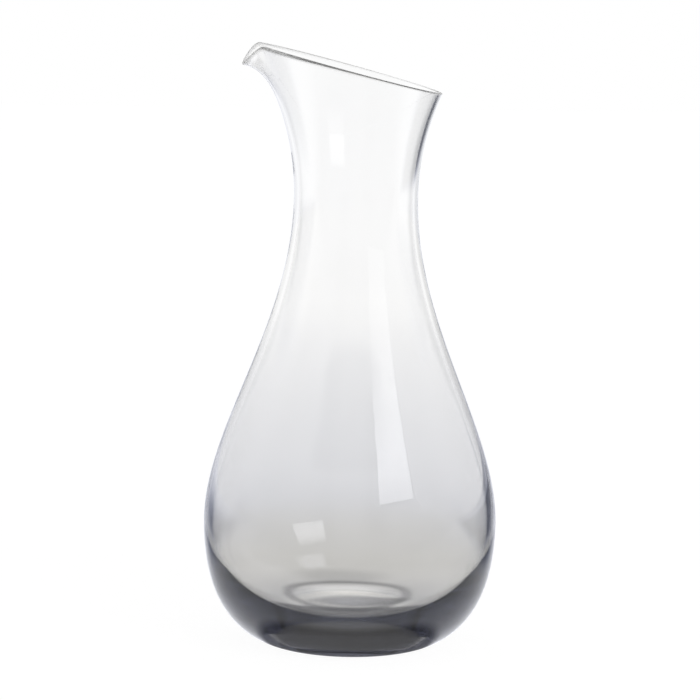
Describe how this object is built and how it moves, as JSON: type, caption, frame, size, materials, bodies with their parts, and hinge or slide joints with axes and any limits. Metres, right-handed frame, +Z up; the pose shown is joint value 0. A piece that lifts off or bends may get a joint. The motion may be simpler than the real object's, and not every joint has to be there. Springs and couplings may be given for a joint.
{
  "type": "water carafe",
  "caption": "Blown glass water carafe with a round smoked belly that fades into a clear narrow neck, a slanted rim and a pulled pouring lip.",
  "frame": {"origin": "centre of the foot ring, on the table", "axes": "+Z up along the axis of the bowl and neck, -X towards the pouring lip"},
  "size_m": [0.12, 0.12, 0.2452],
  "materials": {
    "clear_glass": "fire-polished",
    "smoked_glass": "fire-polished, foot ground and polished"
  },
  "bodies": {
    "root": {"clear_glass_body": "clear_glass", "smoked_glass_casing": "smoked_glass"}
  },
  "joints": []
}
